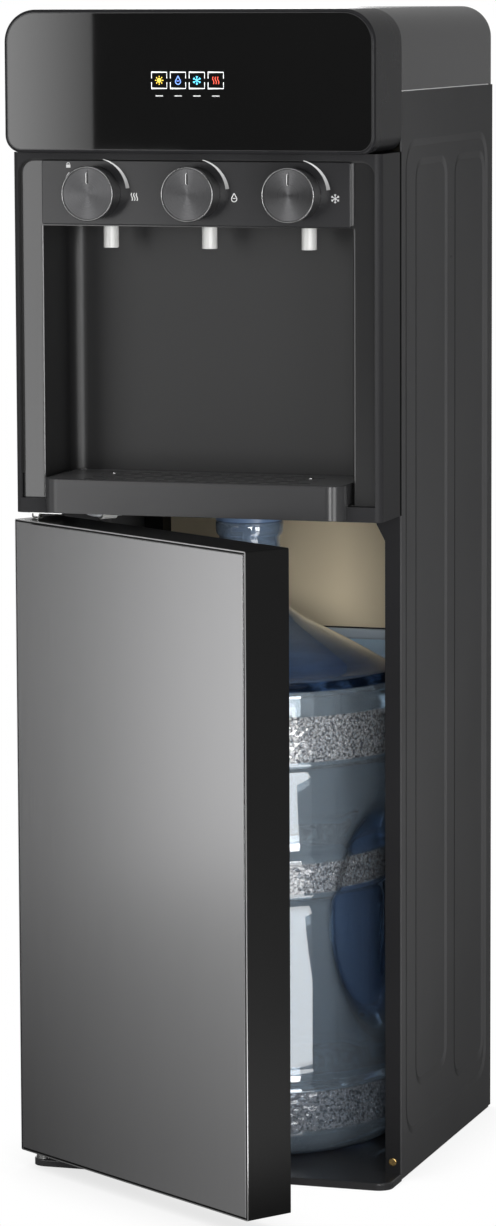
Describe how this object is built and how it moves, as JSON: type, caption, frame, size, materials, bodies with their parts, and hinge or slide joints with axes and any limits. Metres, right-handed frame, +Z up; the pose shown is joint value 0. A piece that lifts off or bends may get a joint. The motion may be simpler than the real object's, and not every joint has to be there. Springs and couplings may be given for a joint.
{
  "type": "floor standing water dispenser",
  "caption": "Bottom-loading water dispenser with turning tap knobs over a drip tray alcove, a hinged door and a bottle bay",
  "frame": {"origin": "on the floor, under the middle of the base tray", "axes": "+Z up, +Y to the back, +X to the right as seen from the front"},
  "size_m": [0.3169, 0.4985, 0.955],
  "materials": {
    "panel_paint": "satin charcoal powder coat",
    "body_plastic": "satin charcoal moulding",
    "alcove_plastic": "fine matte dark grey moulding",
    "display_gloss": "gloss black",
    "grille_plastic": "satin black moulding",
    "black_steel": "semi-gloss black",
    "door_steel": "brushed dark stainless",
    "door_plastic": "satin black moulding",
    "liner_plastic": "grey moulding",
    "galvanised": "dull zinc",
    "rear_board": "beige board",
    "rubber": "matte black",
    "hinge_steel": "zinc plated steel",
    "brass": "bare brass",
    "bush_nylon": "natural nylon",
    "magnet": "magnet strip",
    "bottle_clear": "blue tinted clear plastic",
    "water": "clear water",
    "probe_white": "food-grade moulding",
    "foam": "insulating foam",
    "copper": "bare copper tube",
    "board_green": "solder mask",
    "drain_plastic": "light grey moulding",
    "switch_black": "black moulding",
    "switch_red": "red rocker",
    "switch_green": "green rocker",
    "valve_plastic": "light moulding",
    "nozzle_white": "white",
    "knob_plastic": "dark plated",
    "spun_metal": "circular brushed dark steel"
  },
  "bodies": {
    "cabinet": {"alcove_liner": "alcove_plastic", "base_tray": "body_plastic", "bottle_probe": "probe_white", "bottle_water": "water", "bottom_hinge": "hinge_steel", "cabinet_screws": "hinge_steel", "cold_jacket": "foam", "cold_tank": "hinge_steel", "compressor": "black_steel", "compressor_grommets": "rubber", "condenser": "black_steel", "control_panel": "body_plastic", "cord_gland": "rubber", "display_board": "board_green", "display_plate": "display_gloss", "drain_spout": "drain_plastic", "earth_screw": "brass", "evaporator_coil": "copper", "foot_pads": "rubber", "front_fascia": "body_plastic", "front_pillars": "black_steel", "head_frame": "body_plastic", "hose_clip": "bush_nylon", "hot_jacket": "foam", "hot_tank": "hinge_steel", "liner_edge_bar": "rear_board", "main_board": "board_green", "mid_shelf": "galvanised", "nozzles": "nozzle_white", "rear_corner_posts": "black_steel", "rear_liner": "rear_board", "rear_panel_lower": "galvanised", "rear_panel_upper": "galvanised", "side_panel_left": "panel_paint", "side_panel_right": "panel_paint", "suction_hose": "probe_white", "switch_housings": "switch_black", "tank_bracket": "black_steel", "tap_valves": "valve_plastic", "top_cover": "body_plastic", "top_hinge": "hinge_steel", "water_bottle": "bottle_clear", "water_lines": "probe_white", "water_pump": "bush_nylon"},
    "door": {"door_frame": "door_plastic", "door_panel": "door_steel", "door_liner": "liner_plastic", "door_bushes": "bush_nylon", "door_magnets": "magnet"},
    "hot_knob": {"knob_hot": "knob_plastic", "knob_face_hot": "spun_metal"},
    "normal_knob": {"knob_normal": "knob_plastic", "knob_face_normal": "spun_metal"},
    "cold_knob": {"knob_cold": "knob_plastic", "knob_face_cold": "spun_metal"},
    "tray": {"drip_tray": "body_plastic"},
    "grille": {"drip_grille": "grille_plastic"},
    "hot_switch": {"rocker_hot": "switch_red"},
    "cold_switch": {"rocker_cold": "switch_green"},
    "drain_plug": {"drain_cap": "drain_plastic"}
  },
  "joints": [
    {"name": "door_swing", "type": "hinge", "parent": "cabinet", "child": "door", "pos_m": [-0.1459, -0.1539, 0.278], "axis": [0, 0, -1], "range_deg": [-34.5, 75]},
    {"name": "hot_knob_turn", "type": "hinge", "parent": "cabinet", "child": "hot_knob", "pos_m": [-0.084, -0.1995, 0.8088], "axis": [0, 1, 0], "range_deg": [-45, 90]},
    {"name": "normal_knob_turn", "type": "hinge", "parent": "cabinet", "child": "normal_knob", "pos_m": [0, -0.1995, 0.8088], "axis": [0, 1, 0], "range_deg": [0, 90]},
    {"name": "cold_knob_turn", "type": "hinge", "parent": "cabinet", "child": "cold_knob", "pos_m": [0.084, -0.1995, 0.8088], "axis": [0, 1, 0], "range_deg": [0, 90]},
    {"name": "tray_slide", "type": "slide", "parent": "cabinet", "child": "tray", "axis": [0, -1, 0], "range_m": [0, 0.1]},
    {"name": "grille_lift", "type": "slide", "parent": "tray", "child": "grille", "axis": [0, 0, 1], "range_m": [0, 0.03]},
    {"name": "hot_switch_tip", "type": "hinge", "parent": "cabinet", "child": "hot_switch", "pos_m": [0.114, 0.1285, 0.85], "axis": [-1, 0, 0], "range_deg": [0, 16]},
    {"name": "cold_switch_tip", "type": "hinge", "parent": "cabinet", "child": "cold_switch", "pos_m": [0.114, 0.1285, 0.815], "axis": [-1, 0, 0], "range_deg": [0, 16]},
    {"name": "drain_plug_pull", "type": "slide", "parent": "cabinet", "child": "drain_plug", "axis": [0, 1, 0], "range_m": [0, 0.03]}
  ]
}
